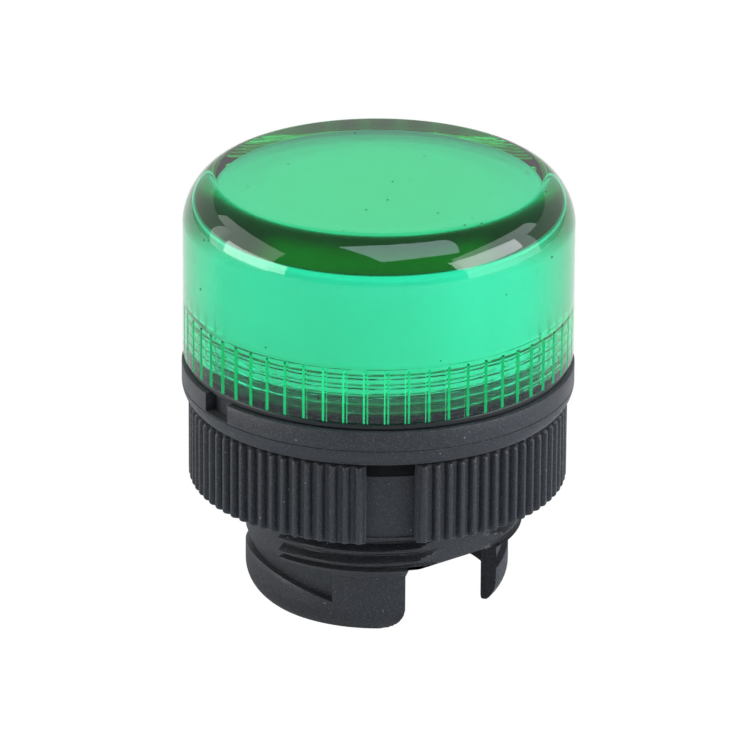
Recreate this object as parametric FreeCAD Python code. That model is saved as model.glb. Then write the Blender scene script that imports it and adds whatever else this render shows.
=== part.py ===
import FreeCAD, Part
import math
import os

# Head of a round panel pilot light for a 22 mm panel hole. Millimetres, +Z up.
# The head stands on its two bayonet legs at z = 0, with its axis on the Z axis.
# The two flats of the shank face -Y and +Y, and the gaps between the legs are under them.
# Angles are degrees about the axis, from -Y towards +X.

# Body: bezel, threaded shank and bayonet legs, moulded as one piece
leg_height = 5.5
shank_length = 9.85
flange_edge_height = 1.3
flange_wall_height = 1.5
spigot_height = 2.1
bore_radius = 8.6
skirt_wall = 1.25
shank_radius = 10.9
shank_cone_height = 0.95
flat_depth = 0.8
spigot_radius = 12.0
spigot_wall = 1.4
counterbore_depth = 1.5
flange_overhang = 0.1
flange_edge_run = 0.6
flange_top_bevel = 0.1

# Bayonet legs: rounded nose, gaps, corners and the cam groove that the lamp block's lugs ride in
foot_width = 0.25
nose_radius = 2.5
gap_angle = 52.0
roof_corner_radius = 1.0
stop_corner_radius = 1.9
entry_corner_radius = 0.6
cam_length_angle = 96.0
cam_crest_angle = 55.0
cam_stop_z = 2.35
cam_crest_rise = 1.3
cam_entry_drop = 0.8
cam_top_gap = 0.55
cam_depth = 0.5
cam_steps = 8

# Side of the shank that carries no thread, above the first leg's entry end
relief_start_angle = -80.5
relief_end_angle = -160.0

# Notch in the bezel's rim
notch_angle = -93.0
notch_width_angle = 11.0
notch_height = 1.4
notch_depth = 0.9

# Seal between bezel and lens
seal_thickness = 0.55
seal_width = 2.15

# Lens: a clear moulded cap that screws over the spigot, its ceiling flat with a sloping edge
lens_height = 13.8
lens_wall = 2.45
lens_top_thickness = 2.36
lens_top_radius = 2.8
ceiling_flat_radius = 9.2
ceiling_edge_drop = 0.86
groove_count = 60
groove_height = 4.3
groove_width = 0.42
groove_depth = 0.3
groove_runout = 0.25

# Diffuser: a milky cup that plugs into the spigot and fills the lens
diffuser_wall = 1.0

# Panel gasket, clamped between the bezel and the panel
gasket_thickness = 1.5
gasket_width = 1.6

# Ring nut: ribbed grip with two plain windows, whose floor is flush with the gasket
nut_height = 6.25
nut_collar_depth = 1.3
nut_collar_wall = 0.78
nut_end_bevel = 0.3
rib_depth = 0.42
rib_root_share = 0.84
rib_tip_share = 0.42
ribs_per_side = 41
window_angle = 16.0
window_centre_angle = -34.1
window_lip_height = 0.12
window_lip_depth = 0.15
nut_bore_bevel = 0.35

# Clearances between pieces: all radial, apart from the last two
nut_clearance = 0.06
lens_clearance = 0.05
seal_clearance = 0.1
gasket_clearance = 0.1
collar_clearance = 0.3
plug_clearance = 0.05
diffuser_clearance = 0.15
plug_end_clearance = 0.1
ceiling_clearance = 0.25

# Radii that follow
skirt_radius = bore_radius + skirt_wall
flat_distance = shank_radius - flat_depth
counterbore_radius = spigot_radius - spigot_wall
lens_bore_radius = spigot_radius + lens_clearance
lens_radius = lens_bore_radius + lens_wall
flange_radius = lens_radius + flange_overhang
diffuser_radius = lens_bore_radius - diffuser_clearance
gasket_bore_radius = shank_radius + gasket_clearance
gasket_radius = gasket_bore_radius + gasket_width
nut_bore_radius = shank_radius + nut_clearance
collar_radius = gasket_radius + collar_clearance
rib_root_radius = collar_radius + nut_collar_wall
nut_radius = rib_root_radius + rib_depth

# Heights that follow
seat_z = leg_height + shank_length
flange_wall_z = seat_z + flange_edge_height
flange_top_z = flange_wall_z + flange_wall_height
spigot_top_z = flange_top_z + spigot_height
lens_bottom_z = flange_top_z + seal_thickness
lens_top_z = lens_bottom_z + lens_height
ceiling_z = lens_top_z - lens_top_thickness
ceiling_edge_z = ceiling_z - ceiling_edge_drop
gasket_bottom_z = seat_z - gasket_thickness
nut_top_z = gasket_bottom_z + nut_collar_depth
nut_bottom_z = nut_top_z - nut_height
cone_z = leg_height - shank_cone_height
cam_crest_z = cam_stop_z + cam_crest_rise
cam_entry_z = cam_crest_z - cam_entry_drop
cam_top_z = leg_height - cam_top_gap

# How far a cutting solid runs past the faces it cuts
over = 2.0

# Flat steps that stand for each rounded edge
nose_steps = 4
edge_steps = 2
shoulder_steps = 4


def point(radius, angle, z):
    """The point at a radius, an angle from -Y towards +X, and a height."""
    a = math.radians(angle)
    return FreeCAD.Vector(radius * math.sin(a), -radius * math.cos(a), z)


def line(a, b):
    return Part.LineSegment(a, b).toShape()


def rounded(start, end, centre, steps):
    """The (r, z) points of a rounded edge from start to end about a centre, the short way round."""
    radius = math.dist(start, centre)
    first = math.atan2(start[1] - centre[1], start[0] - centre[0])
    last = math.atan2(end[1] - centre[1], end[0] - centre[0])
    turn = math.remainder(last - first, 2 * math.pi)
    angles = [first + turn * i / steps for i in range(steps + 1)]
    return [(centre[0] + radius * math.cos(a), centre[1] + radius * math.sin(a)) for a in angles]


def revolve(points):
    """Turns a closed outline of (r, z) points about the axis."""
    vectors = [FreeCAD.Vector(r, 0, z) for r, z in points]
    face = Part.Face(Part.makePolygon(vectors + vectors[:1]))
    return face.revolve(FreeCAD.Vector(0, 0, 0), FreeCAD.Vector(0, 0, 1), 360)


def ring(inner, outer, low, high):
    """A plain ring between two radii and two heights."""
    return revolve([(inner, low), (outer, low), (outer, high), (inner, high)])


def sector(inner, outer, start, end, low, high):
    """A stretch of a ring between two angles."""
    mid = (start + end) / 2
    edges = [
        line(point(inner, start, low), point(outer, start, low)),
        Part.Arc(point(outer, start, low), point(outer, mid, low), point(outer, end, low)).toShape(),
        line(point(outer, end, low), point(inner, end, low)),
        Part.Arc(point(inner, end, low), point(inner, mid, low), point(inner, start, low)).toShape(),
    ]
    return Part.Face(Part.Wire(edges)).extrude(FreeCAD.Vector(0, 0, high - low))


def turned(shape, angle):
    """A copy of a shape, turned about the axis."""
    copy = shape.copy()
    copy.rotate(FreeCAD.Vector(0, 0, 0), FreeCAD.Vector(0, 0, 1), angle)
    return copy


def body_of_revolution():
    """Bezel, shank, skirt and spigot before the cuts."""
    nose_centre_r = skirt_radius - nose_radius
    foot_radius = bore_radius + foot_width
    nose_z = math.sqrt(nose_radius**2 - (foot_radius - nose_centre_r) ** 2)
    edge_radius = (flange_edge_run**2 + flange_edge_height**2) / (2 * flange_edge_run)
    counterbore_z = spigot_top_z - counterbore_depth
    edge_start = (flange_radius - flange_edge_run, seat_z)
    edge_centre = (flange_radius - edge_radius, flange_wall_z)
    return revolve(
        [
            (bore_radius, 0),
            *rounded((foot_radius, 0), (skirt_radius, nose_z), (nose_centre_r, nose_z), nose_steps),
            (skirt_radius, cone_z),
            (shank_radius, leg_height),
            (shank_radius, seat_z),
            *rounded(edge_start, (flange_radius, flange_wall_z), edge_centre, edge_steps),
            (flange_radius, flange_top_z - flange_top_bevel),
            (flange_radius - flange_top_bevel, flange_top_z),
            (spigot_radius, flange_top_z),
            (spigot_radius, spigot_top_z),
            (counterbore_radius, spigot_top_z),
            (counterbore_radius, counterbore_z),
            (bore_radius, counterbore_z),
        ]
    )


def flat_cuts():
    """The two slabs that leave the shank's flats."""
    side = 2 * (shank_radius + over)
    slab = Part.makeBox(side, over, seat_z, FreeCAD.Vector(-side / 2, -flat_distance - over, 0))
    return [slab, turned(slab, 180)]


def leg_gap():
    """The gap under the first flat, with its rounded roof corner beside the second leg's entry end."""
    half = gap_angle / 2
    gap = sector(bore_radius - over, shank_radius + over, -half, half, -over, leg_height)
    corner = point(skirt_radius, half, leg_height)
    edges = [
        e
        for e in gap.Edges
        if all(abs(v.Z - leg_height) < 1e-6 for v in e.Vertexes) and e.distToShape(Part.Vertex(corner))[0] < 1e-4
    ]
    return gap.makeFillet(roof_corner_radius, edges)


def corner_cut(angle, radius, towards):
    """What rounds a leg's bottom corner: the corner block less a quarter cylinder, set at an angle.

    towards is 1 where the leg lies at growing angles from its end, and -1 where it lies at falling ones.
    """
    length = shank_radius - bore_radius + 2 * over
    start = bore_radius - over
    low = -over
    block = Part.makeBox(length, radius + over, radius + over, FreeCAD.Vector(start, -over, low))
    pillar = Part.makeCylinder(radius, length, FreeCAD.Vector(start, radius, radius), FreeCAD.Vector(1, 0, 0))
    cutter = block.cut(pillar)
    if towards < 0:
        cutter = cutter.mirror(FreeCAD.Vector(0, 0, 0), FreeCAD.Vector(0, 1, 0))
    return turned(cutter, angle - 90)


def cam_z(travel):
    """Height of the cam groove's ledge, by the angle travelled from the stop towards the entry."""
    if travel < cam_crest_angle:
        return cam_stop_z + cam_crest_rise * math.sin(math.pi / 2 * travel / cam_crest_angle)
    share = (travel - cam_crest_angle) / (cam_length_angle - cam_crest_angle)
    return cam_entry_z + cam_entry_drop * math.cos(math.pi / 2 * share)


def cam_groove():
    """The wedge cut from the first leg's outside: a ledge below, and a floor that comes out flush above."""
    stop_angle = -gap_angle / 2 - (180 - gap_angle - cam_length_angle)
    wires = []
    for step in range(cam_steps + 1):
        travel = cam_length_angle * step / cam_steps
        angle = stop_angle - travel
        ledge = cam_z(travel)
        if step == cam_steps:
            angle -= over
        corners = [
            point(skirt_radius - cam_depth, angle, ledge),
            point(skirt_radius + over, angle, ledge),
            point(skirt_radius + over, angle, cam_top_z),
            point(skirt_radius, angle, cam_top_z),
        ]
        wires.append(Part.makePolygon(corners + corners[:1]))
    return Part.makeLoft(wires, True, True)


def make_body():
    """The moulded body: revolved form, flats, leg gaps, rounded corners, cam grooves, relief and notch."""
    half = gap_angle / 2
    cuts = flat_cuts()
    for turn in (0, 180):
        cuts.append(turned(leg_gap(), turn))
        cuts.append(turned(corner_cut(-half, stop_corner_radius, -1), turn))
        cuts.append(turned(corner_cut(half, entry_corner_radius, 1), turn))
        cuts.append(turned(cam_groove(), turn))
    cuts.append(
        sector(skirt_radius, shank_radius + over, relief_end_angle, relief_start_angle, cam_stop_z, seat_z)
    )
    notch_half = notch_width_angle / 2
    cuts.append(
        sector(
            flange_radius - notch_depth,
            flange_radius + over,
            notch_angle - notch_half,
            notch_angle + notch_half,
            flange_top_z - notch_height,
            flange_top_z + over,
        )
    )
    body = body_of_revolution()
    for cut in cuts:
        body = body.cut(cut)
    return body


def make_lens_seal():
    """The flat rubber ring between bezel and lens."""
    inner = spigot_radius + seal_clearance
    return ring(inner, inner + seal_width, flange_top_z, lens_bottom_z)


def make_lens_cap():
    """The lens: a thick-walled cap with a round shoulder, and upright grooves round its foot."""
    inner = lens_bore_radius
    shoulder_r = lens_radius - lens_top_radius
    shoulder_z = lens_top_z - lens_top_radius
    cap = revolve(
        [
            (inner, lens_bottom_z),
            (lens_radius, lens_bottom_z),
            *rounded((lens_radius, shoulder_z), (shoulder_r, lens_top_z), (shoulder_r, shoulder_z), shoulder_steps),
            (0, lens_top_z),
            (0, ceiling_z),
            (ceiling_flat_radius, ceiling_z),
            (inner, ceiling_edge_z),
        ]
    )
    return cap.cut(Part.makeCompound([turned(lens_groove(), 360 * i / groove_count) for i in range(groove_count)]))


def lens_groove():
    """One upright V groove at -Y, open at the lens's foot and running out at its top."""
    root = lens_radius - groove_depth
    low = lens_bottom_z - over
    high = lens_bottom_z + groove_height
    spread = groove_width / 2 * (groove_depth + over) / groove_depth
    outside = lens_radius + over

    def corners(z, shift):
        return [
            FreeCAD.Vector(0, -(root + shift), z),
            FreeCAD.Vector(spread, -(outside + shift), z),
            FreeCAD.Vector(-spread, -(outside + shift), z),
        ]

    rings = [corners(low, 0), corners(high - groove_runout, 0), corners(high, groove_depth)]
    wires = [Part.makePolygon(c + c[:1]) for c in rings]
    return Part.makeLoft(wires, True, True)


def make_diffuser():
    """The milky cup: a plug in the spigot, a wall close to the lens's, and a flat top under its ceiling."""
    plug = counterbore_radius - plug_clearance
    plug_end = spigot_top_z - counterbore_depth + plug_end_clearance
    floor_z = spigot_top_z + diffuser_wall
    top = ceiling_edge_z - ceiling_clearance
    return revolve(
        [
            (plug - diffuser_wall, plug_end),
            (plug, plug_end),
            (plug, spigot_top_z),
            (diffuser_radius, spigot_top_z),
            (diffuser_radius, top),
            (0, top),
            (0, top - diffuser_wall),
            (diffuser_radius - diffuser_wall, top - diffuser_wall),
            (diffuser_radius - diffuser_wall, floor_z),
            (plug - diffuser_wall, floor_z),
        ]
    )


def make_panel_gasket():
    """The flat rubber washer under the bezel."""
    return ring(gasket_bore_radius, gasket_radius, gasket_bottom_z, seat_z)


def nut_outline():
    """The nut's section across the axis: ribs all round except in the two plain windows."""
    pitch = (180 - window_angle) / ribs_per_side
    edges = []
    first = None
    here = None
    for side in (0, 180):
        start = side + window_angle / 2
        corners = [point(gasket_radius, start, 0)]
        for rib in range(ribs_per_side):
            centre = start + (rib + 0.5) * pitch
            for radius, share in (
                (rib_root_radius, -rib_root_share),
                (nut_radius, -rib_tip_share),
                (nut_radius, rib_tip_share),
                (rib_root_radius, rib_root_share),
            ):
                corners.append(point(radius, centre + share * pitch / 2, 0))
        corners.append(point(gasket_radius, side + 180 - window_angle / 2, 0))
        if here is None:
            first = corners[0]
        else:
            edges.append(Part.Arc(here, point(gasket_radius, side, 0), corners[0]).toShape())
        edges += [line(a, b) for a, b in zip(corners, corners[1:])]
        here = corners[-1]
    edges.append(Part.Arc(here, point(gasket_radius, 360, 0), first).toShape())
    return Part.Wire(edges)


def rib_envelope():
    """A many-sided block with one side on each rib, whose narrowed ends bevel the ribs' ends."""
    pitch = (180 - window_angle) / ribs_per_side
    corners = [side + window_angle / 2 + rib * pitch for side in (0, 180) for rib in range(ribs_per_side + 1)]
    wires = []
    for z, inset in (
        (nut_bottom_z, nut_end_bevel),
        (nut_bottom_z + nut_end_bevel, 0),
        (nut_top_z - nut_end_bevel, 0),
        (nut_top_z, nut_end_bevel),
    ):
        radius = (nut_radius - inset) / math.cos(math.radians(pitch / 2))
        points = [point(radius, angle, z) for angle in corners]
        wires.append(Part.makePolygon(points + points[:1]))
    return Part.makeLoft(wires, True, True)


def make_ring_nut():
    """The ribbed nut, with bevelled rib ends, a collar round the gasket and a lip under each window."""
    outline = Part.Face(nut_outline())
    outline.translate(FreeCAD.Vector(0, 0, nut_bottom_z))
    prism = outline.extrude(FreeCAD.Vector(0, 0, nut_height))
    bore = nut_bore_radius
    hollow = revolve(
        [
            (0, nut_bottom_z - over),
            (bore + nut_bore_bevel + over, nut_bottom_z - over),
            (bore, nut_bottom_z + nut_bore_bevel),
            (bore, gasket_bottom_z),
            (collar_radius, gasket_bottom_z),
            (collar_radius, nut_top_z + over),
            (0, nut_top_z + over),
        ]
    )
    lip = ring(bore, gasket_radius + window_lip_depth, nut_bottom_z, nut_bottom_z + window_lip_height)
    nut = prism.common(rib_envelope()).fuse(lip).cut(hollow).removeSplitter()
    return turned(nut, window_centre_angle)


def main():
    """Builds each piece and writes it to parts/."""
    os.makedirs("parts", exist_ok=True)
    pieces = {
        "body": make_body(),
        "lens_seal": make_lens_seal(),
        "lens_cap": make_lens_cap(),
        "diffuser": make_diffuser(),
        "panel_gasket": make_panel_gasket(),
        "ring_nut": make_ring_nut(),
    }
    for name, shape in pieces.items():
        if len(shape.Solids) != 1 or not shape.isValid():
            raise RuntimeError(name + " is not one valid solid")
        shape.Solids[0].exportStep("parts/" + name + ".step")
        box = shape.BoundBox
        print(name, "volume", round(shape.Volume, 2), "z", round(box.ZMin, 3), round(box.ZMax, 3))


main()
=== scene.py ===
"""Looks of the round panel pilot light head: moulded pieces, finishes, studio and camera.

Every piece is drawn in the frame's metres from sizes in millimetres. Angles are degrees
about the Z axis, from -Y towards +X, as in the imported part.
"""

from __future__ import annotations

import logging
import math
from dataclasses import dataclass, field
from enum import Enum
from typing import Any, Mapping, Protocol, Sequence

import bmesh
import bpy
import numpy as np
from mathutils import Matrix, Vector

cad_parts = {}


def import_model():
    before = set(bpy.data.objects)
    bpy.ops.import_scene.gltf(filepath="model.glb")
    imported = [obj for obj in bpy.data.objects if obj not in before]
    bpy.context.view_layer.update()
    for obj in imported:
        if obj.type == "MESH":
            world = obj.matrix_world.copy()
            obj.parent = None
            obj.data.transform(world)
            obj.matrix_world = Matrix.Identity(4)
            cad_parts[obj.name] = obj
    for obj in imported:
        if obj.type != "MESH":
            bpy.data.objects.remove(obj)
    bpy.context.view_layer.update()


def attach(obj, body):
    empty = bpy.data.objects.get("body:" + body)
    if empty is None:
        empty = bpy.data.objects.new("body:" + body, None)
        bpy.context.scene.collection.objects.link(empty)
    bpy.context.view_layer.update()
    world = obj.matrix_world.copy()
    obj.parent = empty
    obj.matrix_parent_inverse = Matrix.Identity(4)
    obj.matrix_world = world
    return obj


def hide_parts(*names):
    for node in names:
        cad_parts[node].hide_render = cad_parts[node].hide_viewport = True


LOG = logging.getLogger("pilot_light")

# A millimetre in the frame's metres
MM = 0.001

# Half the angle in degrees between the two columns of points at a sharp upright edge
EDGE = 0.012

# Points that lie closer are merged, and edges that are shorter are dissolved, in metres
MERGED = 0.5e-6
DISSOLVED = 0.2e-6

# Shares of a thread's half pitch: its level crest, and the flank down to the root
THREAD_CREST = 0.16
THREAD_FLANK = 0.68

# The values that a soft noise mostly keeps between
NOISE_SPAN = {"From Min": 0.3, "From Max": 0.7}

# One number for a whole row of points, or one for each of its angles
Measure = float | np.ndarray


class Body(Enum):
    """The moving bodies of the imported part."""

    HEAD = "head"
    GASKET = "gasket"
    NUT = "nut"
    SEAL = "seal"
    LENS = "lens"


class Slot(Enum):
    """The record's material slots."""

    LENS = "lens_green"
    DIFFUSER = "diffuser_milky"
    BODY = "body_black"
    NUT = "nut_black"
    SEAL = "seal_rubber"
    GASKET = "gasket_rubber"


class Zone(Enum):
    """The lens's zones that aren't polished, as the names of its mesh's face shares."""

    SATIN = "satin"
    CUT = "cut"


def linear(code: str) -> tuple[float, float, float, float]:
    """Turns an sRGB colour into linear light.

    Args:
        code: Six hex digits, with or without a leading hash.

    Returns:
        Red, green, blue and alpha, each from 0 to 1.
    """
    digits = code.lstrip("#")
    values = [int(digits[i : i + 2], 16) / 255 for i in (0, 2, 4)]
    r, g, b = (v / 12.92 if v <= 0.04045 else ((v + 0.055) / 1.055) ** 2.4 for v in values)
    return r, g, b, 1.0


class Nodes:
    """A shader node tree that is filled one node at a time."""

    def __init__(self, tree: bpy.types.NodeTree) -> None:
        """Starts from an empty tree.

        Args:
            tree: The material's or world's node tree.
        """
        self.tree = tree
        tree.nodes.clear()

    def add(
        self,
        kind: str,
        values: Mapping[Any, Any] | None = None,
        links: Mapping[Any, bpy.types.NodeSocket] | None = None,
        **settings: Any,
    ) -> bpy.types.Node:
        """Adds a node with its settings, socket values and incoming links.

        Args:
            kind: The node's type without the ShaderNode prefix.
            values: Input sockets, by name or number, and their constants.
            links: Input sockets, by name or number, and the outputs that feed them.
            **settings: Attributes of the node.

        Returns:
            The new node.
        """
        node = self.tree.nodes.new("ShaderNode" + kind)
        for name, value in settings.items():
            setattr(node, name, value)
        for key, value in (values or {}).items():
            node.inputs[key].default_value = value
        for key, source in (links or {}).items():
            self.tree.links.new(source, node.inputs[key])
        return node


def material(name: str) -> tuple[bpy.types.Material, Nodes]:
    """Makes an empty material.

    Args:
        name: The material's name.

    Returns:
        The material and its node tree.
    """
    made = bpy.data.materials.new(name)
    made.use_nodes = True
    return made, Nodes(made.node_tree)


def specks(nodes: Nodes, cell_mm: float, size: float, share: float) -> bpy.types.NodeSocket:
    """Makes a mask of scattered specks, at most one to a cell.

    Args:
        nodes: The tree that gets the mask.
        cell_mm: The cells' size in mm.
        size: A speck's radius as a share of its cell.
        share: How many of the cells have a speck.

    Returns:
        The mask's output, 1 in a speck and 0 elsewhere.
    """
    spot = nodes.add("TexCoord").outputs["Object"]
    cells = nodes.add("TexVoronoi", {"Scale": 1 / (cell_mm * MM)}, {"Vector": spot})
    near, pick = cells.outputs["Distance"], cells.outputs["Color"]
    centre = nodes.add("Math", {1: size}, {0: near}, operation="LESS_THAN")
    pick = nodes.add("SeparateColor", links={0: pick}).outputs[0]
    chosen = nodes.add("Math", {1: share}, {0: pick}, operation="LESS_THAN")
    both = {0: centre.outputs[0], 1: chosen.outputs[0]}
    return nodes.add("Math", links=both, operation="MULTIPLY").outputs[0]


class Finish(Protocol):
    """A real material and the process that gives it its surface."""

    def material(self) -> bpy.types.Material:
        """Returns the finish as a material."""


@dataclass(frozen=True)
class ClearGreenPolycarbonate:
    """Clear green polycarbonate, from a mould that is polished outside and satin inside.

    It looks bright green where light crosses one wall, and deep green where its path through
    the wall is long. Its real specks are too fine to show, so they are drawn coarser. Absorbed
    says how fast red, green and blue light are lost, per metre of path.
    """

    name: str = "clear_green_polycarbonate"
    ior: float = 1.585
    polished: float = 0.015
    cut_colour: str = "3FE59B"
    cut_roughness: float = 0.3
    cut_share: float = 0.65
    speck_colour: str = "16362A"
    speck_cell_mm: float = 1.3
    speck_size: float = 0.075
    speck_share: float = 0.2
    absorbed: tuple[float, float, float] = (640.0, 24.0, 134.0)

    def material(self) -> bpy.types.Material:
        """Makes tinted glass that lamps shine through, satin or cut where the mesh says so.

        Returns:
            The material.
        """
        made, nodes = material(self.name)
        satin = nodes.add("Attribute", attribute_name=Zone.SATIN.value).outputs["Fac"]
        cut = nodes.add("Attribute", attribute_name=Zone.CUT.value).outputs["Fac"]
        dull = nodes.add("Math", {1: self.polished}, {0: satin}, operation="MAXIMUM")
        clear = nodes.add(
            "BsdfPrincipled",
            {"Base Color": linear("FFFFFF"), "IOR": self.ior, "Transmission Weight": 1.0},
            {"Roughness": dull.outputs[0]},
        )
        matt = nodes.add(
            "BsdfDiffuse", {"Color": linear(self.cut_colour), "Roughness": self.cut_roughness}
        )
        matt_share = nodes.add("Math", {1: self.cut_share}, {0: cut}, operation="MULTIPLY")
        looks = {0: matt_share.outputs[0], 1: clear.outputs[0], 2: matt.outputs[0]}
        skin = nodes.add("MixShader", links=looks)
        mask = specks(nodes, self.speck_cell_mm, self.speck_size, self.speck_share)
        speck = nodes.add("BsdfDiffuse", {"Color": linear(self.speck_colour)})
        looks = {0: mask, 1: skin.outputs[0], 2: speck.outputs[0]}
        speckled = nodes.add("MixShader", links=looks)
        lit = nodes.add("LightPath").outputs["Is Shadow Ray"]
        open_air = nodes.add("BsdfTransparent")
        looks = {0: lit, 1: speckled.outputs[0], 2: open_air.outputs[0]}
        surface = nodes.add("MixShader", links=looks)
        # A little over the greatest loss, so that no part of the tint is zero
        density = max(self.absorbed) * 1.02
        tint = [1 - a / density for a in self.absorbed]
        volume = nodes.add("VolumeAbsorption", {"Color": (*tint, 1.0), "Density": density})
        both = {"Surface": surface.outputs[0], "Volume": volume.outputs[0]}
        nodes.add("OutputMaterial", links=both)
        return made


@dataclass(frozen=True)
class MilkyPolycarbonate:
    """Milky translucent polycarbonate: spreads light evenly, so the lens over it glows."""

    name: str = "milky_polycarbonate"
    colour: str = "F8FAF8"
    shade: str = "EEF3EF"
    roughness: float = 0.5
    ior: float = 1.58
    cloud_mm: float = 4.0

    def material(self) -> bpy.types.Material:
        """Makes a pale, softly scattering white.

        Returns:
            The material.
        """
        made, nodes = material(self.name)
        spot = nodes.add("TexCoord").outputs["Object"]
        cloud = nodes.add(
            "TexNoise", {"Scale": 1 / (self.cloud_mm * MM), "Detail": 2.0}, {"Vector": spot}
        )
        tone = nodes.add("ValToRGB", links={0: cloud.outputs[0]})
        tone.color_ramp.elements[0].color = linear(self.shade)
        tone.color_ramp.elements[1].color = linear(self.colour)
        milk = nodes.add(
            "BsdfPrincipled",
            {"Roughness": self.roughness, "IOR": self.ior},
            {"Base Color": tone.outputs[0]},
        )
        nodes.add("OutputMaterial", links={"Surface": milk.outputs[0]})
        return made


@dataclass(frozen=True)
class SparkTexturedPolyamide:
    """Black glass-filled polyamide from a spark-eroded mould: a fine dull grain, pale dust.

    The real grain and dust measure some hundredths of a millimetre, which is too fine to
    show, so both are drawn coarser.
    """

    name: str
    colour: str = "191A1D"
    pale: str = "26272B"
    cloud_mm: float = 3.0
    roughness: float = 0.5
    smoother: float = 0.06
    duller: float = 0.08
    ior: float = 1.53
    sheen: float = 0.14
    sheen_roughness: float = 0.35
    grain_mm: float = 0.12
    grain_height_mm: float = 0.04
    # Painted glint: a paler colour on the grain's peaks stands in for light glinting off the glass
    # fibres
    painted_glint: str = "55585C"
    painted_glint_from: float = 0.52
    painted_glint_to: float = 0.74
    painted_glint_share: float = 0.6
    dust: str = "8E9296"
    dust_cell_mm: float = 0.36
    dust_size: float = 0.14
    dust_share: float = 0.05

    def material(self) -> bpy.types.Material:
        """Makes a near black with a fine bump, pale flecks on the grain painted as glints of the
        glass fibres, cloudy sheen and scattered dust.

        Returns:
            The material.
        """
        made, nodes = material(self.name)
        spot = nodes.add("TexCoord").outputs["Object"]
        grain = nodes.add(
            "TexNoise", {"Scale": 1 / (self.grain_mm * MM), "Detail": 2.0}, {"Vector": spot}
        )
        cloud = nodes.add(
            "TexNoise", {"Scale": 1 / (self.cloud_mm * MM), "Detail": 3.0}, {"Vector": spot}
        )
        tones = {"A": linear(self.colour), "B": linear(self.pale)}
        tone = nodes.add("Mix", tones, {"Factor": cloud.outputs[0]}, data_type="RGBA")
        # Painted glint: where the grain peaks, a paler colour is mixed in as the glass fibres'
        # sparkle
        shine = {"From Min": self.painted_glint_from, "From Max": self.painted_glint_to, "To Max": self.painted_glint_share}
        painted_glint = nodes.add("MapRange", shine, {"Value": grain.outputs[0]})
        dust = specks(nodes, self.dust_cell_mm, self.dust_size, self.dust_share)
        for colour, mask in ((self.painted_glint, painted_glint.outputs[0]), (self.dust, dust)):
            under = {"Factor": mask, "A": tone.outputs["Result"]}
            tone = nodes.add("Mix", {"B": linear(colour)}, under, data_type="RGBA")
        swing = {"To Min": self.roughness - self.smoother, "To Max": self.roughness + self.duller}
        dull = nodes.add("MapRange", {**NOISE_SPAN, **swing}, {"Value": cloud.outputs[0]})
        relief = {"Strength": 1.0, "Distance": self.grain_height_mm * MM}
        bump = nodes.add("Bump", relief, {"Height": grain.outputs[0]})
        sheen = {"Sheen Weight": self.sheen, "Sheen Roughness": self.sheen_roughness}
        varied = {"Roughness": dull.outputs[0], "Normal": bump.outputs[0]}
        plastic = nodes.add(
            "BsdfPrincipled",
            {"IOR": self.ior, **sheen},
            {"Base Color": tone.outputs["Result"], **varied},
        )
        nodes.add("OutputMaterial", links={"Surface": plastic.outputs[0]})
        return made


@dataclass(frozen=True)
class MouldedNitrileRubber:
    """Black nitrile rubber from a smooth mould: dark, with a low soft sheen."""

    name: str
    colour: str
    roughness: float
    ior: float = 1.52
    cloud_mm: float = 0.8
    cloud_height_mm: float = 0.008
    swing: float = 0.1

    def material(self) -> bpy.types.Material:
        """Makes a dark rubber with a faint matt cloudiness.

        Returns:
            The material.
        """
        made, nodes = material(self.name)
        spot = nodes.add("TexCoord").outputs["Object"]
        cloud = nodes.add(
            "TexNoise", {"Scale": 1 / (self.cloud_mm * MM), "Detail": 3.0}, {"Vector": spot}
        )
        swing = {"To Min": self.roughness - self.swing, "To Max": self.roughness + self.swing}
        dull = nodes.add("MapRange", {**NOISE_SPAN, **swing}, {"Value": cloud.outputs[0]})
        relief = {"Strength": 1.0, "Distance": self.cloud_height_mm * MM}
        bump = nodes.add("Bump", relief, {"Height": cloud.outputs[0]})
        rubber = nodes.add(
            "BsdfPrincipled",
            {"Base Color": linear(self.colour), "IOR": self.ior},
            {"Roughness": dull.outputs[0], "Normal": bump.outputs[0]},
        )
        nodes.add("OutputMaterial", links={"Surface": rubber.outputs[0]})
        return made


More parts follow.
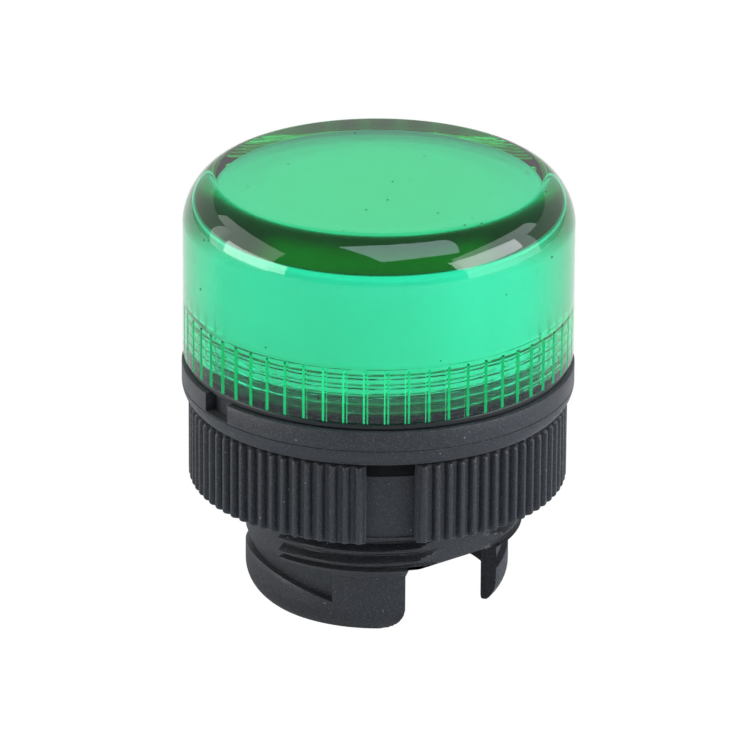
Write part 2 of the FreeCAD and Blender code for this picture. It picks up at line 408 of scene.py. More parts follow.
@dataclass
class Skin:
    """A piece's skin as rows of points swept about the Z axis, over one list of angles."""

    angles: np.ndarray
    radii: list[np.ndarray] = field(default_factory=list)
    heights: list[np.ndarray] = field(default_factory=list)
    shares: dict[Zone, list[tuple[int, Measure]]] = field(default_factory=dict)

    def row(self, radius: Measure, height: Measure) -> None:
        """Adds a row of points.

        Args:
            radius: One radius in mm, or one per angle.
            height: One height in mm, or one per angle.
        """
        shape = self.angles.shape
        self.radii.append(np.broadcast_to(np.asarray(radius, float), shape))
        self.heights.append(np.broadcast_to(np.asarray(height, float), shape))

    def rows(self, *points: tuple[Measure, Measure]) -> None:
        """Adds several rows.

        Args:
            *points: Each row's radius and height in mm.
        """
        for radius, height in points:
            self.row(radius, height)

    def zone(self, zone: Zone, share: Measure) -> None:
        """Puts the faces from the last row to the next one in a zone.

        Args:
            zone: The zone.
            share: How far each face is in it, as one number or one per angle.
        """
        self.shares.setdefault(zone, []).append((len(self.radii) - 1, share))

    def mesh(self, name: str, closed: bool = True, sharp: float = 32.0) -> bpy.types.Object:
        """Joins the rows into a smooth-shaded object with sharp edges.

        Args:
            name: The object's name.
            closed: True where the last row meets the first one.
            sharp: The angle in degrees from which an edge stays sharp.

        Returns:
            The object, linked into the scene.
        """
        a = np.radians(self.angles)[None, :]
        r = np.array(self.radii) * MM
        z = np.array(self.heights) * MM
        points = np.stack([r * np.sin(a), -r * np.cos(a), z], axis=-1).reshape(-1, 3)
        count, columns = r.shape
        last = count if closed else count - 1
        i, j = np.meshgrid(np.arange(last), np.arange(columns), indexing="ij")
        up, right = (i + 1) % count, (j + 1) % columns
        quads = np.stack(
            [i * columns + j, i * columns + right, up * columns + right, up * columns + j],
            axis=-1,
        )
        data = bpy.data.meshes.new(name)
        data.from_pydata(points.tolist(), [], quads.reshape(-1, 4).tolist())
        for zone, stretches in self.shares.items():
            faces = np.zeros((last, columns), np.float32)
            for number, share in stretches:
                faces[number] = share
            layer = data.attributes.new(zone.value, "FLOAT", "FACE")
            layer.data.foreach_set("value", faces.ravel())
        work = bmesh.new()
        work.from_mesh(data)
        bmesh.ops.remove_doubles(work, verts=work.verts, dist=MERGED)
        bmesh.ops.dissolve_degenerate(work, dist=DISSOLVED, edges=work.edges)
        if work.calc_volume(signed=True) < 0:
            bmesh.ops.reverse_faces(work, faces=work.faces)
        work.to_mesh(data)
        work.free()
        made = bpy.data.objects.new(name, data)
        bpy.context.collection.objects.link(made)
        data.shade_smooth()
        data.set_sharp_from_angle(angle=math.radians(sharp))
        return made


def arc(
    centre: tuple[float, float], radius: float, start: float, end: float, steps: int
) -> list[tuple[float, float]]:
    """Gives points along an arc in the radius-height plane.

    Args:
        centre: The arc's centre in mm.
        radius: Its radius in mm.
        start: The first point's direction in degrees from the outward one.
        end: The last point's direction in degrees.
        steps: How many stretches the arc has.

    Returns:
        The points in order, both ends included.
    """
    turns = np.radians(np.linspace(start, end, steps + 1))
    return [(centre[0] + radius * math.cos(t), centre[1] + radius * math.sin(t)) for t in turns]


def angle_list(
    step: float, edges: Sequence[float], dense: Sequence[tuple[float, float, float]]
) -> np.ndarray:
    """Gives angles all round, with a close pair at each sharp edge and finer steps where asked.

    Args:
        step: The usual step in degrees.
        edges: Angles at which the section changes at once.
        dense: Stretches as start, end and step.

    Returns:
        The angles in rising order, from -180 to under 180.
    """
    found = list(np.arange(-180, 180, step))
    for start, end, fine in dense:
        found += list(np.arange(start, end, fine))
    wrapped = (np.array(found) + 180) % 360 - 180
    turns = (np.array(edges) + 180) % 360 - 180
    near = np.abs((wrapped[:, None] - turns[None, :] + 180) % 360 - 180).min(axis=1)
    # An angle this near to an edge's pair would only leave a sliver
    kept = wrapped[near > 4 * EDGE]
    pairs = np.concatenate([turns - EDGE, turns + EDGE])
    return np.unique(np.round(np.concatenate([kept, (pairs + 180) % 360 - 180]), 4))


def thread_depth(angles: np.ndarray, height: float, pitch: float, start: float) -> np.ndarray:
    """Gives how deep a right-hand thread's flank is, from 0 on the crest to 1 at the root.

    Args:
        angles: The angles in degrees.
        height: The height in mm.
        pitch: The thread's pitch in mm.
        start: The height of a crest at angle 0, in mm.

    Returns:
        The depth at each angle.
    """
    phase = ((height - start) / pitch - angles / 360) % 1.0
    flank = 1 - np.abs(2 * phase - 1)
    return np.clip((flank - THREAD_CREST) / THREAD_FLANK, 0, 1)


def place(made: bpy.types.Object, body: Body, node: str, finish: Finish) -> None:
    """Puts a piece in its node's place, on its body, with its finish.

    Args:
        made: The piece.
        body: The body that carries it.
        node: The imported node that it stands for.
        finish: The finish that it gets.
    """
    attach(made, body.value)
    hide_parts(node)
    made.data.materials.append(finish.material())


@dataclass(frozen=True)
class LensCap:
    """The clear screw-on cap: round shoulder, upright grooves outside, fine thread inside."""

    bottom: float = 18.7
    top: float = 32.5
    bore: float = 12.05
    radius: float = 14.5
    foot_round: float = 0.25
    shoulder_width: float = 2.5
    shoulder_height: float = 3.43
    shoulder_power: float = 1.73
    shoulder_steps: int = 32
    ceiling: float = 29.4
    ceiling_round: float = 0.2
    ceiling_satin: float = 0.17
    wall_satin: float = 0.25
    grooves: int = 60
    groove_half_width: float = 0.19
    groove_floor: float = 0.07
    groove_depth: float = 0.2
    groove_top: float = 23.0
    groove_runout: float = 0.22
    thread_pitch: float = 0.75
    thread_rows: int = 16
    thread_top: float = 22.65
    thread_bottom: float = 18.95
    thread_height: float = 0.2
    thread_groove: float = 0.42
    thread_slope: float = 0.38
    thread_fade: float = 0.5
    thread_dull: float = 0.1
    sharp_angle: float = 8.0

    def groove(self) -> tuple[np.ndarray, np.ndarray, np.ndarray]:
        """Gives the section of the grooves all round the lens.

        Returns:
            The angles, the share of the groove's depth at each, and 1 where a flank starts.
        """
        pitch = 360 / self.grooves
        per_mm = 360 / (2 * math.pi * self.radius)
        half, low = self.groove_half_width, self.groove_floor
        # Places in mm from a groove's middle, with the depth there and whether a flank follows
        across = [
            (-half, 0.0, True), (-low, 1.0, False), (low, 1.0, True), (half, 0.0, False),
            (0.4, 0.0, False), (0.62, 0.0, False), (0.9, 0.0, False), (1.12, 0.0, False),
        ]
        angles, shares, flanks = [], [], []
        for number in range(self.grooves):
            for offset, share, flank in across:
                angles.append(number * pitch - 180 + offset * per_mm)
                shares.append(share)
                flanks.append(flank)
        return np.array(angles), np.array(shares), np.array(flanks)

    def shoulder(self) -> list[tuple[float, float]]:
        """Gives the round shoulder's outline, a quarter of a superellipse.

        Returns:
            The points from the wall up to the flat top.
        """
        width, height = self.shoulder_width, self.shoulder_height
        inner, low = self.radius - width, self.top - height
        power = 2 / self.shoulder_power
        turns = np.linspace(0, math.pi / 2, self.shoulder_steps + 1)[:-1]
        out, up = np.cos(turns) ** power, np.sin(turns) ** power
        return [*zip(inner + width * out, low + height * up), (inner, self.top)]

    def add_inside(self, skin: Skin) -> None:
        """Adds the ceiling, the wall and its fine thread, from the middle down.

        Args:
            skin: The skin that gets the rows.
        """
        round_off = self.ceiling_round
        corner = arc((self.bore - round_off, self.ceiling - round_off), round_off, 90, 0, 6)
        level = [(r, self.ceiling) for r in (0.0, 4.0, 8.0)]
        for r, z in [*level, *corner]:
            skin.row(r, z)
            skin.zone(Zone.SATIN, self.ceiling_satin)
        skin.row(self.bore, self.ceiling - round_off - 0.02)
        skin.zone(Zone.SATIN, self.wall_satin)
        skin.row(self.bore, self.thread_top + 0.2)
        step = self.thread_pitch / self.thread_rows
        for z in np.arange(self.thread_top, self.thread_bottom, -step):
            phase = ((z - self.thread_bottom) / self.thread_pitch - skin.angles / 360) % 1.0
            flank = np.abs(2 * phase - 1)
            ridge = np.clip((flank - self.thread_groove) / self.thread_slope, 0, 1)
            fade = min(1.0, (self.thread_top - z) / self.thread_fade)
            skin.row(self.bore + self.thread_height * ridge * fade, z)
            skin.zone(Zone.CUT, self.thread_dull)
        skin.rows((self.bore, self.bottom + 0.12), (self.bore + 0.1, self.bottom))

    def add_outside(self, skin: Skin, share: np.ndarray, flank: np.ndarray) -> None:
        """Adds the foot, the grooved wall, the shoulder and the top.

        Args:
            skin: The skin that gets the rows.
            share: The share of the groove's depth at each angle.
            flank: 1 where a flank starts.
        """
        cut = self.groove_depth * share
        root = self.radius - self.groove_depth
        skin.rows((self.bore + 0.6, self.bottom), (root - 0.1, self.bottom))
        foot = self.foot_round
        for r, z in arc((self.radius - foot, self.bottom + foot), foot, -90, 0, 4):
            skin.row(np.minimum(r, self.radius - cut), z)
            skin.zone(Zone.CUT, flank)
        # A row half way up keeps the flanks' faces short, as two more do above the grooves
        skin.row(self.radius - cut, 21.0)
        skin.zone(Zone.CUT, flank)
        top = self.groove_top
        run = top - self.groove_runout
        for z, left in ((run, 1.0), (run + 0.12, 0.75), (top - 0.03, 0.3), (top, 0.0)):
            skin.row(self.radius - cut * left, z)
        skin.rows((self.radius, 24.5), (self.radius, 27.0))
        skin.rows(*self.shoulder())
        for part in (0.9, 0.7, 0.45, 0.2, 0.0):
            skin.row((self.radius - self.shoulder_width) * part, self.top)

    def build(self) -> bpy.types.Object:
        """Draws the cap's skin, inside and outside.

        Returns:
            The cap.
        """
        angles, share, flank = self.groove()
        skin = Skin(angles)
        self.add_inside(skin)
        self.add_outside(skin, share, flank)
        return skin.mesh("lens_cap_moulding", closed=False, sharp=self.sharp_angle)

    def dress(self, made: bpy.types.Object) -> None:
        """Gives the cap its finish."""
        place(made, Body.LENS, "lens_cap", ClearGreenPolycarbonate())


@dataclass(frozen=True)
class Diffuser:
    """The milky cup that plugs into the spigot and fills the lens."""

    bottom: float = 18.85
    seat: float = 20.25
    plug: float = 10.55
    radius: float = 11.9
    wall: float = 1.0
    top: float = 29.03
    edge: float = 0.1
    top_round: float = 0.12

    def build(self) -> bpy.types.Object:
        """Draws the cup with its plug.

        Returns:
            The cup.
        """
        skin = Skin(np.arange(-180, 180, 2.0))
        inner, plug_inner = self.radius - self.wall, self.plug - self.wall
        edge, round_off = self.edge, self.top_round
        skin.rows((0.0, self.top - self.wall), (inner, self.top - self.wall))
        skin.rows((inner, self.seat + self.wall), (plug_inner, self.seat + self.wall))
        skin.rows((plug_inner, self.bottom), (self.plug - edge, self.bottom))
        skin.rows((self.plug, self.bottom + edge), (self.plug, self.seat))
        skin.rows((self.radius - edge, self.seat), (self.radius, self.seat + edge))
        skin.rows(*arc((self.radius - round_off, self.top - round_off), round_off, 0, 90, 4))
        skin.rows((self.radius * 0.6, self.top), (0.0, self.top))
        return skin.mesh("diffuser_cup", closed=False)

    def dress(self, made: bpy.types.Object) -> None:
        """Gives the cup its finish."""
        place(made, Body.HEAD, "diffuser", MilkyPolycarbonate())


@dataclass(frozen=True)
class RubberRing:
    """A flat rubber ring with rounded edges."""

    name: str
    inner: float
    outer: float
    bottom: float
    top: float
    rounding: float
    bore_rounding: float = 0.05

    def build(self) -> bpy.types.Object:
        """Draws the ring.

        Returns:
            The ring.
        """
        skin = Skin(np.arange(-180, 180, 2.0))
        edge, small = self.rounding, self.bore_rounding
        skin.rows(*arc((self.outer - edge, self.bottom + edge), edge, -90, 0, 5))
        skin.rows(*arc((self.outer - edge, self.top - edge), edge, 0, 90, 5))
        skin.rows(*arc((self.inner + small, self.top - small), small, 90, 180, 2))
        skin.rows(*arc((self.inner + small, self.bottom + small), small, 180, 270, 2))
        return skin.mesh(self.name)


@dataclass(frozen=True)
class LensSeal(RubberRing):
    """The rubber ring between bezel and lens."""

    name: str = "lens_seal_ring"
    inner: float = 12.1
    outer: float = 14.25
    bottom: float = 18.15
    top: float = 18.7
    rounding: float = 0.16

    def dress(self, made: bpy.types.Object) -> None:
        """Gives the seal its finish, glossier than the gasket's, its black tinted green as painted
        reflection of the lens.
        """
        # Painted reflection: the green in its near-black colour stands in for the green lens's
        # light reflected on it
        rubber = MouldedNitrileRubber("seal_nitrile_painted_green", "0A0F0D", 0.35)
        place(made, Body.SEAL, "lens_seal", rubber)


@dataclass(frozen=True)
class PanelGasket(RubberRing):
    """The rubber washer under the bezel."""

    name: str = "panel_gasket_ring"
    inner: float = 11.0
    outer: float = 12.6
    bottom: float = 13.85
    top: float = 15.35
    rounding: float = 0.15

    def dress(self, made: bpy.types.Object) -> None:
        """Gives the gasket its finish, darker and duller than the seal's, as painted shade."""
        # Painted shade: the near-black colour and low IOR stand in for the shadow in the recess
        # under the bezel
        rubber = MouldedNitrileRubber("gasket_nitrile_painted_shade", "080909", 0.75, ior=1.3)
        place(made, Body.GASKET, "panel_gasket", rubber)


@dataclass(frozen=True)
class RingNut:
    """The ring nut: rounded ribs all round but for two plain windows, and a thread inside."""

    bottom: float = 8.9
    top: float = 15.15
    seat: float = 13.85
    bore: float = 10.96
    collar: float = 12.9
    root: float = 13.68
    root_bevel: float = 0.1
    tip: float = 14.1
    window_floor: float = 12.6
    window_angle: float = 16.0
    window_centre: float = -34.1
    window_step: float = 2.0
    ribs: int = 41
    end_round: float = 0.35
    lip_height: float = 0.12
    lip_depth: float = 0.15
    thread_pitch: float = 1.0
    thread_height: float = 0.4
    thread_start: float = 0.68
    thread_step: float = 0.125

    def section(self) -> tuple[np.ndarray, np.ndarray, np.ndarray]:
        """Gives the nut's section across the axis.

        Returns:
            The angles, the share of a rib's height at each, and 1 where a window is.
        """
        pitch = (180 - self.window_angle) / self.ribs
        # Places across a rib as shares of the ribs' pitch, with the share of its height there
        rib = [
            (-0.34, 0.0), (-0.28, 0.3), (-0.2, 0.74), (-0.12, 0.95), (-0.04, 1.0),
            (0.04, 1.0), (0.12, 0.95), (0.2, 0.74), (0.28, 0.3), (0.34, 0.0),
        ]
        half, step = self.window_angle / 2, self.window_step
        angles, heights, window = [], [], []

        def column(angle: float, height: float = 0.0, plain: bool = False) -> None:
            """Adds an angle with its rib height and whether it is in a window."""
            angles.append(angle)
            heights.append(height)
            window.append(plain)

        for side in (0.0, 180.0):
            for turn in (-half + EDGE, *np.arange(-half + step, half - 1, step), half - EDGE):
                column(side + turn, plain=True)
            column(side + half + EDGE)
            for number in range(self.ribs):
                for offset, height in rib:
                    column(side + half + (number + 0.5 + offset) * pitch, height)
            column(side + 180 - half - EDGE)
        return np.array(angles) + self.window_centre, np.array(heights), np.array(window)

    def add_outside(self, skin: Skin, share: np.ndarray, window: np.ndarray) -> None:
        """Adds the ribbed wall, the windows and the lips under them, from the bottom up.

        Args:
            skin: The skin that gets the rows.
            share: The share of a rib's height at each angle.
            window: Which angles are in a window.
        """
        height = self.tip - self.root

        def outside(z: float, off: float) -> None:
            """Adds a row at a height, off being how far it is from the nearer end."""
            bend = 1 - min(off, self.end_round) / self.end_round
            round_off = math.sqrt(max(0.0, 1 - bend**2))
            ribbed = self.root - max(0.0, self.root_bevel - off) + height * share * round_off
            lip = self.lip_depth if z <= self.bottom + self.lip_height else 0.0
            low = np.where(window, min(z, self.seat), z)
            skin.row(np.where(window, self.window_floor + lip, ribbed), low)

        # Distances from an end, close together where the rib rounds off and at the lip's edge
        lip = self.lip_height
        ends = (0.0, 0.015, 0.05, self.root_bevel, lip, lip + 0.004, 0.2, 0.28, self.end_round)
        for off in ends:
            outside(self.bottom + off, off)
        for z in (10.5, 12.5, self.seat):
            outside(z, 1.0)
        for off in reversed(ends):
            outside(self.top - off, off)

    def build(self) -> bpy.types.Object:
        """Draws the nut from its underside round the outside and down the bore.

        Returns:
            The nut.
        """
        angles, share, window = self.section()
        skin = Skin(angles)
        skin.rows((self.bore + 0.35, self.bottom), (12.0, self.bottom))
        self.add_outside(skin, share, window)
        collar = np.where(window, self.window_floor, self.collar)
        brim = np.where(window, self.window_floor, self.collar + 0.3)
        rim = np.where(window, self.seat, self.top)
        skin.rows((brim, rim), (collar, rim), (collar, self.seat))
        skin.row(self.bore + 0.3, self.seat)
        z = self.seat - 0.25
        while z > self.bottom + 0.4:
            cut = thread_depth(angles, z, self.thread_pitch, self.thread_start)
            skin.row(self.bore + self.thread_height * (1 - cut), z)
            z -= self.thread_step
        return skin.mesh("ring_nut_moulding")

    def dress(self, made: bpy.types.Object) -> None:
        """Gives the nut its finish, a shade paler than the body's."""
        plastic = SparkTexturedPolyamide("nut_polyamide", "1B1C1F", "282A2E")
        place(made, Body.NUT, "ring_nut", plastic)


@dataclass(frozen=True)
class BodyMoulding:
    """Bezel, threaded shank and bayonet legs, moulded as one piece."""

    bore: float = 8.6
    foot: float = 8.85
    foot_bevel: float = 0.08
    skirt: float = 9.85
    nose: float = 2.5
    cone_z: float = 4.55
    roof: float = 5.5
    shank: float = 10.9
    thread_root: float = 10.28
    thread_pitch: float = 1.0
    thread_start: float = 0.18
    thread_top: float = 13.8
    thread_step: float = 0.1
    flat: float = 10.1
    seat: float = 15.35
    bezel: float = 14.597
    bezel_run: float = 0.6
    wall_z: float = 16.65
    bezel_top: float = 18.15
    notch_angle: float = -93.0
    notch_width: float = 11.0
    notch_z: float = 16.75
    notch_depth: float = 0.9
    spigot: float = 12.0
    spigot_top: float = 20.25
    spigot_pitch: float = 0.75
    spigot_start: float = 0.3
    spigot_depth: float = 0.22
    spigot_step: float = 0.09
    counterbore: float = 10.6
    counterbore_z: float = 18.75
    gap: float = 26.0
    roof_corner: float = 1.0
    roof_corner_r: float = 9.8
    stop_corner: float = 1.9
    entry_corner: float = 0.6
    leg_corner_r: float = 9.3
    cam_foot: float = 2.0
    cam_stop: float = -58.0
    cam_stop_z: float = 2.35
    cam_rise: float = 1.3
    cam_crest: float = 55.0
    cam_length: float = 96.0
    cam_entry_z: float = 2.85
    cam_drop: float = 0.8
    cam_depth: float = 0.5
    cam_top: float = 4.95
    relief: tuple[float, float] = (-160.0, -80.5)
    relief_z: float = 2.3

    def columns(self) -> np.ndarray:
        """Gives the angles, with close pairs where the section changes at once."""
        shank_edge = math.degrees(math.acos(self.flat / self.shank))
        half = self.notch_width / 2
        edges = [*self.relief, self.notch_angle - half, self.notch_angle + half]
        # The legs' rounded ends and the roof's rounded corner get finer steps
        dense = []
        for turn in (0.0, 180.0):
            edges += [turn - self.gap, turn + self.gap, turn + self.cam_stop]
            edges += [turn - shank_edge, turn + shank_edge]
            dense += [(turn - 40.3, turn - 25.0, 0.6), (turn + 19.3, turn + 31.0, 0.6)]
        return angle_list(1.0, edges, dense)

    def floor(self, angles: np.ndarray) -> np.ndarray:
        """Gives where the piece ends below: at the gaps' roof or the legs' rounded ends.

        Args:
            angles: The angles in degrees.

        Returns:
            The lowest height at each angle.
        """
        turned = (angles + 90) % 180 - 90

        def corner(beyond: np.ndarray, at: float, radius: float) -> np.ndarray:
            """Gives what a rounded corner takes off, by the degrees beyond its end."""
            distance = at * np.sin(np.radians(np.clip(beyond, 0, 90)))
            left = np.clip(radius - distance, 0, radius)
            return radius - np.sqrt(radius**2 - left**2)

        stop = corner(-self.gap - turned, self.leg_corner_r, self.stop_corner)
        entry = corner(turned - self.gap, self.leg_corner_r, self.entry_corner)
        roof = self.roof - corner(self.gap - turned, self.roof_corner_r, self.roof_corner)
        lowest = np.where(turned < -self.gap, stop, 0.0)
        lowest = np.where(turned > self.gap, entry, lowest)
        return np.where(np.abs(turned) < self.gap, roof, lowest)

    def ledge(self, angles: np.ndarray) -> tuple[np.ndarray, np.ndarray]:
        """Gives the cam groove's ledge, which climbs from the stop and drops to the entry.

        Args:
            angles: The angles in degrees.

        Returns:
            The ledge's height and the groove's depth at each angle.
        """
        travel = (self.cam_stop - angles) % 180
        climb = np.sin(np.pi / 2 * np.clip(travel / self.cam_crest, 0, 1))
        rise = self.cam_stop_z + self.cam_rise * climb
        share = np.clip((travel - self.cam_crest) / (self.cam_length - self.cam_crest), 0, 1)
        fall = self.cam_entry_z + self.cam_drop * np.cos(np.pi / 2 * share)
        height = np.where(travel < self.cam_crest, rise, fall)
        cut = travel <= self.cam_length
        return np.where(cut, height, self.cam_stop_z), np.where(cut, self.cam_depth, 0.0)

    def build(self) -> bpy.types.Object:
        """Draws the body from the legs' feet up the outside and down the bore.

        Returns:
            The body.
        """
        skin = Skin(self.columns())
        floor = self.floor(skin.angles)
        self.add_shank(skin, floor)
        self.add_bezel(skin)
        self.add_spigot(skin)
        skin.rows((self.bore, self.counterbore_z), (self.bore, np.maximum(12.0, floor)))
        return skin.mesh("body_moulding")

    def add_shank(self, skin: Skin, floor: np.ndarray) -> None:
        """Adds the legs with their cam grooves, the cone above them and the threaded shank.

        Args:
            skin: The skin that gets the rows.
            floor: The lowest height at each angle.
        """
        angles = skin.angles
        ledge, depth = self.ledge(angles)
        relief = (angles > self.relief[0]) & (angles < self.relief[1])
        flat = self.flat / np.maximum(np.abs(np.cos(np.radians(angles))), 1e-6)

        def shank(radius: Measure, height: Measure) -> None:
            """Adds a row, cut back by the flats, the relief and the leg gaps."""
            cut = np.minimum(radius, flat)
            high = np.asarray(height) >= self.relief_z
            cut = np.where(relief & high, np.minimum(cut, self.skirt), cut)
            skin.row(cut, np.maximum(height, floor))

        def groove_floor(z: Measure) -> np.ndarray:
            """Gives the groove's floor, which comes out to the skirt above the ledge."""
            return self.skirt - depth * (self.cam_top - z) / (self.cam_top - ledge)

        bevel = self.foot_bevel
        skin.rows((self.bore, np.maximum(bevel, floor)), (self.bore + bevel, floor))
        nose_r = self.skirt - self.nose
        nose_z = math.sqrt(self.nose**2 - (self.foot - self.skirt + self.nose) ** 2)
        low = math.degrees(math.atan2(-nose_z, self.foot - nose_r))
        for r, z in arc((nose_r, nose_z), self.nose, low, 0, 9):
            shank(r, z)
        # Up to the ledge with its rounded edge, then in to the groove's floor
        for share, inset in ((0.6, 0.0), (0.93, 0.0), (0.985, 0.06), (1.0, 0.2), (1.0, 1.0)):
            shank(self.skirt - depth * inset, self.cam_foot + (ledge - self.cam_foot) * share)
        for share in (0.33, 0.66):
            z = ledge + (self.cone_z - ledge) * share
            shank(groove_floor(z), z)
        slope = (self.shank - self.skirt) / (self.roof - self.cone_z)
        for z in (self.cone_z, 4.75, self.cam_top):
            cone = self.skirt + slope * (z - self.cone_z)
            shank(np.where(depth > 0, groove_floor(z), cone), z)
        for z in (self.cam_top + 0.005, 5.2, self.roof - 0.04):
            shank(self.skirt + slope * (z - self.cone_z), z)
        z = self.roof
        while z < self.thread_top:
            cut = thread_depth(angles, z, self.thread_pitch, self.thread_start)
            shank(self.shank - (self.shank - self.thread_root) * cut, z)
            z += self.thread_step
        shank(self.shank - 0.02, self.thread_top + 0.1)
        shank(self.shank - 0.02, self.seat - 0.005)

    def add_bezel(self, skin: Skin) -> None:
        """Adds the bezel's rows: round underside, fine parting groove, and rim with its notch.

        Args:
            skin: The skin that gets the rows.
        """
        notch = np.abs(skin.angles - self.notch_angle) < self.notch_width / 2
        run = self.bezel_run
        rise = self.wall_z - self.seat
        round_r = (run**2 + rise**2) / (2 * run)
        low = -math.degrees(math.asin(rise / round_r))
        skin.row(self.shank, self.seat)
        skin.rows(*arc((self.bezel - round_r, self.wall_z), round_r, low, -2.0, 8))
        for depth, z in ((0.01, 16.6), (0.07, 16.63), (0.07, 16.67), (0.0, 16.7)):
            skin.row(self.bezel - depth, z)
        skin.row(self.bezel, self.notch_z - 0.002)
        floor = self.bezel - self.notch_depth
        for radius, height in (
            (self.bezel, self.notch_z + 0.002),
            (self.bezel, 17.4),
            (self.bezel, self.bezel_top - 0.12),
            (self.bezel - 0.03, self.bezel_top - 0.05),
            (self.bezel - 0.12, self.bezel_top),
            (floor, self.bezel_top),
        ):
            skin.row(np.where(notch, min(radius, floor), radius), height)

    def add_spigot(self, skin: Skin) -> None:
        """Adds the spigot's rows, with its fine thread and counterbore.

        Args:
            skin: The skin that gets the rows.
        """
        skin.row(self.spigot, self.bezel_top)
        z = self.bezel_top + 0.5
        while z < self.spigot_top - 0.1:
            cut = thread_depth(skin.angles, z, self.spigot_pitch, self.spigot_start)
            skin.row(self.spigot - self.spigot_depth * cut, z)
            z += self.spigot_step
        top, inner = self.spigot_top, self.counterbore
        skin.rows((self.spigot - 0.2, top), (inner + 0.08, top))
        skin.rows((inner, top - 0.08), (inner, self.counterbore_z))

    def dress(self, made: bpy.types.Object) -> None:
        """Gives the body its finish."""
        place(made, Body.HEAD, "body", SparkTexturedPolyamide("body_polyamide"))


def direction(azimuth: float, elevation: float) -> Vector:
    """Gives the unit vector towards an azimuth and an elevation.

    Args:
        azimuth: Degrees about the Z axis, from -Y towards +X.
        elevation: Degrees above the horizon.

    Returns:
        The vector.
    """
    a, e = math.radians(azimuth), math.radians(elevation)
    return Vector((math.sin(a) * math.cos(e), -math.cos(a) * math.cos(e), math.sin(e)))


@dataclass(frozen=True)
class Softbox:
    """A rectangular lamp aimed at the object, placed round it from the camera's azimuth."""

    name: str
    azimuth: float
    elevation: float
    distance: float
    width: float
    height: float
    radiance: float
    colour: str = "FFFFFF"

    def build(self, target: Vector, front: float) -> None:
        """Hangs the lamp, out of sight of rays that pass through the lens.

        Args:
            target: What it is aimed at, in metres.
            front: The camera's azimuth in degrees.
        """
        data = bpy.data.lights.new(self.name, "AREA")
        data.shape = "RECTANGLE"
        data.size = self.width
        data.size_y = self.height
        data.energy = self.radiance * math.pi * self.width * self.height
        data.color = linear(self.colour)[:3]
        lamp = bpy.data.objects.new(self.name, data)
        out = direction(front + self.azimuth, self.elevation)
        lamp.location = target + out * self.distance
        lamp.rotation_euler = out.to_track_quat("Z", "Y").to_euler()
        bpy.context.collection.objects.link(lamp)
        lamp.visible_transmission = False


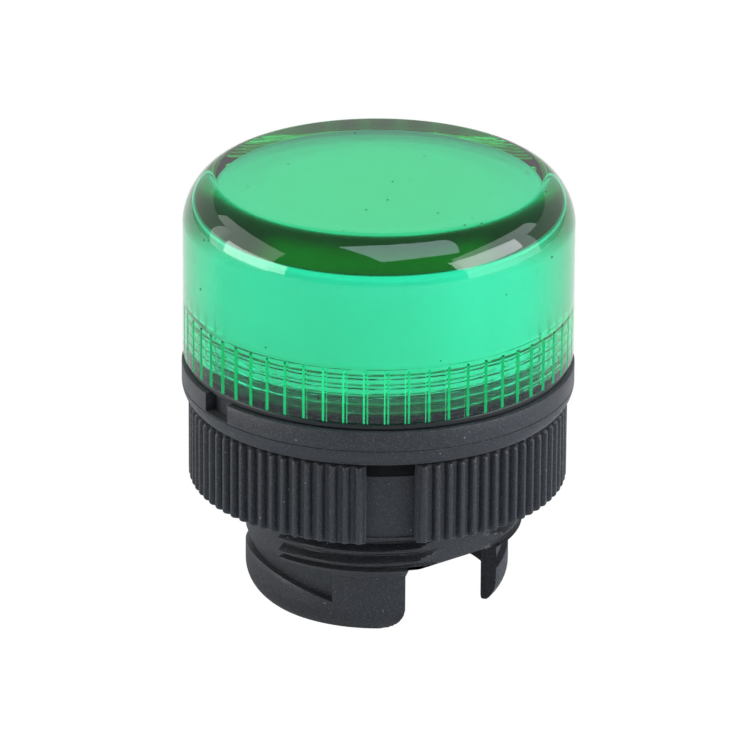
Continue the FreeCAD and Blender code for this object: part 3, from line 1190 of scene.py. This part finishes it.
@dataclass(frozen=True)
class Studio:
    """White floor and surroundings, softboxes and the camera of the product shot."""

    azimuth: float = -38.5
    elevation: float = 22.5
    distance: float = 0.555
    target_z: float = 0.01633
    focal_length: float = 358.1
    roll: float = 0.4
    shift: tuple[float, float] = (-0.004, 0.00579)
    floor_half: float = 0.6
    floor_colour: str = "D8DADC"
    mirrored_mm: float = 35.0
    mirrored_share: float = 0.9
    sweep_radius: float = 0.75
    sweep_rows: int = 12
    sweep_columns: int = 16
    sweep_azimuth: tuple[float, float] = (105.0, 150.0)
    sweep_elevation: tuple[float, float] = (-1.0, 26.0)
    sweep_strength: float = 0.68
    room_colour: str = "E4E8EC"
    room_strength: float = 0.36
    lens_strength: float = 0.12
    softboxes: tuple[Softbox, ...] = (
        Softbox("overhead", 30.0, 67.0, 0.6, 0.46, 0.42, 3.3, "DCEAFF"),
        Softbox("left_strip", -77.0, 9.0, 0.6, 0.5, 0.17, 4.2),
        Softbox("left_fill", -95.0, 12.0, 0.7, 0.8, 0.7, 1.6),
        Softbox("right_strip", 70.0, 25.0, 0.6, 0.5, 0.18, 5.2, "F8FAFF"),
        Softbox("right_fill", 84.0, 12.0, 0.7, 0.9, 0.8, 2.0, "F4F8FF"),
    )

    def target(self) -> Vector:
        """Gives the point that the camera and the lamps are aimed at, in metres."""
        return Vector((0, 0, self.target_z))

    def hang(
        self,
        name: str,
        points: Sequence[Sequence[float]],
        faces: Sequence[Sequence[int]],
        look: bpy.types.Material,
    ) -> None:
        """Makes a sheet that belongs to the stage.

        Args:
            name: The sheet's name.
            points: Its points in metres.
            faces: Its faces, as point numbers.
            look: Its material.
        """
        data = bpy.data.meshes.new(name)
        data.from_pydata(points, [], faces)
        data.materials.append(look)
        made = bpy.data.objects.new(name, data)
        bpy.context.collection.objects.link(made)

    def floor(self) -> None:
        """Lays a pale floor that the camera sees as white, and gloss only behind the object."""
        sheet, nodes = material("white_floor")
        matt = nodes.add("BsdfDiffuse", {"Color": linear(self.floor_colour)})
        glow = nodes.add("Emission", {"Color": linear("FFFFFF"), "Strength": 1.0})
        rays = nodes.add("LightPath").outputs
        either = {0: rays["Is Camera Ray"], 1: rays["Is Transmission Ray"]}
        seen = nodes.add("Math", links=either, operation="MAXIMUM")
        back = nodes.add(
            "VectorMath",
            {1: tuple(-direction(self.azimuth, 0))},
            {0: nodes.add("TexCoord").outputs["Object"]},
            operation="DOT_PRODUCT",
        )
        rise = nodes.add(
            "MapRange",
            {"From Min": 0.0, "From Max": self.mirrored_mm * MM, "To Max": self.mirrored_share},
            {"Value": back.outputs["Value"]},
            interpolation_type="SMOOTHSTEP",
        )
        gloss = {0: rays["Is Glossy Ray"], 1: rise.outputs[0]}
        mirrored = nodes.add("Math", links=gloss, operation="MULTIPLY")
        bright = {0: seen.outputs[0], 1: mirrored.outputs[0]}
        share = nodes.add("Math", links=bright, operation="MAXIMUM")
        looks = {0: share.outputs[0], 1: matt.outputs[0], 2: glow.outputs[0]}
        mixed = nodes.add("MixShader", links=looks)
        nodes.add("OutputMaterial", links={"Surface": mixed.outputs[0]})
        half = self.floor_half
        points = [(-half, -half, 0), (half, -half, 0), (half, half, 0), (-half, half, 0)]
        self.hang("floor", points, [(0, 1, 2, 3)], sheet)

    def backdrop(self) -> None:
        """Hangs a glowing white sweep behind and beside the object."""
        sheet, nodes = material("glowing_sweep")
        strength = self.sweep_strength
        glow = nodes.add("Emission", {"Color": linear("FFFFFF"), "Strength": strength})
        nodes.add("OutputMaterial", links={"Surface": glow.outputs[0]})
        rows, columns = self.sweep_rows, self.sweep_columns
        (start, width), (low, height) = self.sweep_azimuth, self.sweep_elevation
        points = []
        for j in range(rows + 1):
            for i in range(columns + 1):
                azimuth = self.azimuth + start + width * i / columns
                out = direction(azimuth, low + height * j / rows)
                points.append(tuple(self.target() + out * self.sweep_radius))
        wide = columns + 1
        first = [j * wide + i for j in range(rows) for i in range(columns)]
        quads = [(n, n + 1, n + wide + 1, n + wide) for n in first]
        self.hang("backdrop", points, quads, sheet)

    def surroundings(self) -> None:
        """Sets a soft grey room that the camera sees as white and the lens as dim."""
        world = bpy.data.worlds.new("studio")
        world.use_nodes = True
        nodes = Nodes(world.node_tree)
        grey, white = linear(self.room_colour), linear("FFFFFF")
        room = nodes.add("Background", {"Color": grey, "Strength": self.room_strength})
        dim = nodes.add("Background", {"Color": grey, "Strength": self.lens_strength})
        bright = nodes.add("Background", {"Color": white, "Strength": 1.0})
        rays = nodes.add("LightPath").outputs
        through = {0: rays["Is Transmission Ray"], 1: room.outputs[0], 2: dim.outputs[0]}
        inside = nodes.add("MixShader", links=through)
        seen = {0: rays["Is Camera Ray"], 1: inside.outputs[0], 2: bright.outputs[0]}
        mixed = nodes.add("MixShader", links=seen)
        nodes.add("OutputWorld", links={"Surface": mixed.outputs[0]})
        bpy.context.scene.world = world

    def camera(self) -> None:
        """Sets the camera at the photo's angle."""
        data = bpy.data.cameras.new("camera")
        data.sensor_width = 36.0
        data.lens = self.focal_length
        data.shift_x, data.shift_y = self.shift
        data.clip_start, data.clip_end = 0.01, 10.0
        made = bpy.data.objects.new("camera", data)
        out = direction(self.azimuth, self.elevation)
        look = out.to_track_quat("Z", "Y").to_matrix().to_4x4()
        turned = look @ Matrix.Rotation(math.radians(self.roll), 4, "Z")
        made.matrix_world = Matrix.Translation(self.target() + out * self.distance) @ turned
        bpy.context.collection.objects.link(made)
        bpy.context.scene.camera = made

    def build(self) -> None:
        """Sets the whole studio."""
        self.floor()
        self.backdrop()
        self.surroundings()
        for lamp in self.softboxes:
            lamp.build(self.target(), self.azimuth)
        self.camera()
        bpy.context.scene.view_settings.view_transform = "Standard"


def main() -> None:
    """Loads the frame, builds, dresses and reports every piece, and sets the studio."""
    logging.basicConfig(level=logging.INFO)
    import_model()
    for piece in (BodyMoulding(), Diffuser(), PanelGasket(), RingNut(), LensSeal(), LensCap()):
        made = piece.build()
        piece.dress(made)
        LOG.info("%s: %d faces", made.name, len(made.data.polygons))
    Studio().build()


if __name__ == "__main__":
    main()
